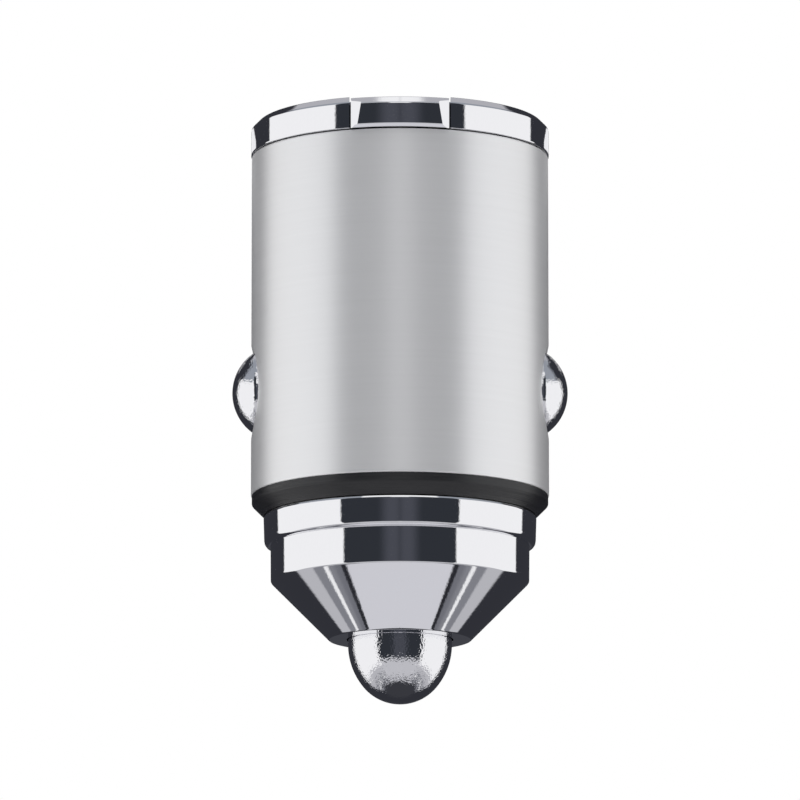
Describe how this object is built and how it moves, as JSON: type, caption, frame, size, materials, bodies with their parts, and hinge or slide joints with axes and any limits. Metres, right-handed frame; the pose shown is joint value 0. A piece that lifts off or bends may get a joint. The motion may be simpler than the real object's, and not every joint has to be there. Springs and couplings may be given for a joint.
{
  "type": "car usb charger plug",
  "caption": "Flush car charger with a satin aluminium barrel, polished nose, sprung contacts, two USB sockets and a fold-flat pull handle.",
  "frame": {"origin": "on the barrel's axis at its lower end, where the black collar starts", "axes": "+Z along the axis towards the USB face, -Z to the tip contact, -Y to the nail tab of the pull handle, +X and -X to the side contacts"},
  "size_m": [0.0234, 0.0212, 0.0411],
  "materials": {
    "satin_aluminium": "satin turned and anodised",
    "bright_plating": "polished plating",
    "black_plastic": "fine matt moulded",
    "connector_steel": "bright rolled",
    "contact_gold": "gold plated",
    "tongue_plastic": "moulded",
    "board_laminate": "green solder mask",
    "chip_plastic": "moulded",
    "ferrite": "pressed powder",
    "capacitor_can": "drawn can",
    "lens_plastic": "clear, milky",
    "spring_steel": "drawn wire"
  },
  "bodies": {
    "root": {"barrel_shell": "satin_aluminium", "end_ring": "bright_plating", "face_plate": "black_plastic", "handle_pin_left": "connector_steel", "handle_pin_right": "connector_steel", "usb_a_shell": "connector_steel", "usb_a_tongue": "tongue_plastic", "usb_a_contacts": "contact_gold", "usb_c_shell": "connector_steel", "usb_c_tongue": "tongue_plastic", "usb_c_contacts": "contact_gold", "led_lens": "lens_plastic", "status_led": "lens_plastic", "circuit_board": "board_laminate", "power_inductor": "ferrite", "output_capacitor": "capacitor_can", "input_capacitor": "capacitor_can", "controller_chip": "chip_plastic", "switch_chip": "chip_plastic", "inner_chassis": "black_plastic", "earth_bracket": "connector_steel", "side_spring_left": "spring_steel", "side_spring_right": "spring_steel", "insulator_collar": "black_plastic", "nose_cap": "bright_plating", "tip_spring": "spring_steel", "positive_terminal": "contact_gold", "positive_pin": "contact_gold"},
    "tip": {"tip_contact": "bright_plating"},
    "left_contact": {"side_contact_left": "bright_plating"},
    "right_contact": {"side_contact_right": "bright_plating"},
    "handle": {"pull_handle": "bright_plating"}
  },
  "joints": [
    {"name": "tip_press", "type": "slide", "parent": "root", "child": "tip", "axis": [0, 0, 1], "range_m": [0, 0.0018], "stiffness_N_per_m": 800, "deforming": ["tip_spring"]},
    {"name": "left_press", "type": "slide", "parent": "root", "child": "left_contact", "axis": [1, 0, 0], "range_m": [0, 0.0013], "stiffness_N_per_m": 600, "deforming": ["side_spring_left"]},
    {"name": "right_press", "type": "slide", "parent": "root", "child": "right_contact", "axis": [-1, 0, 0], "range_m": [0, 0.0013], "stiffness_N_per_m": 600, "deforming": ["side_spring_right"]},
    {"name": "handle_fold", "type": "hinge", "parent": "root", "child": "handle", "pos_m": [0, 0, 0.0257], "axis": [-1, 0, 0], "range_deg": [0, 100]}
  ]
}
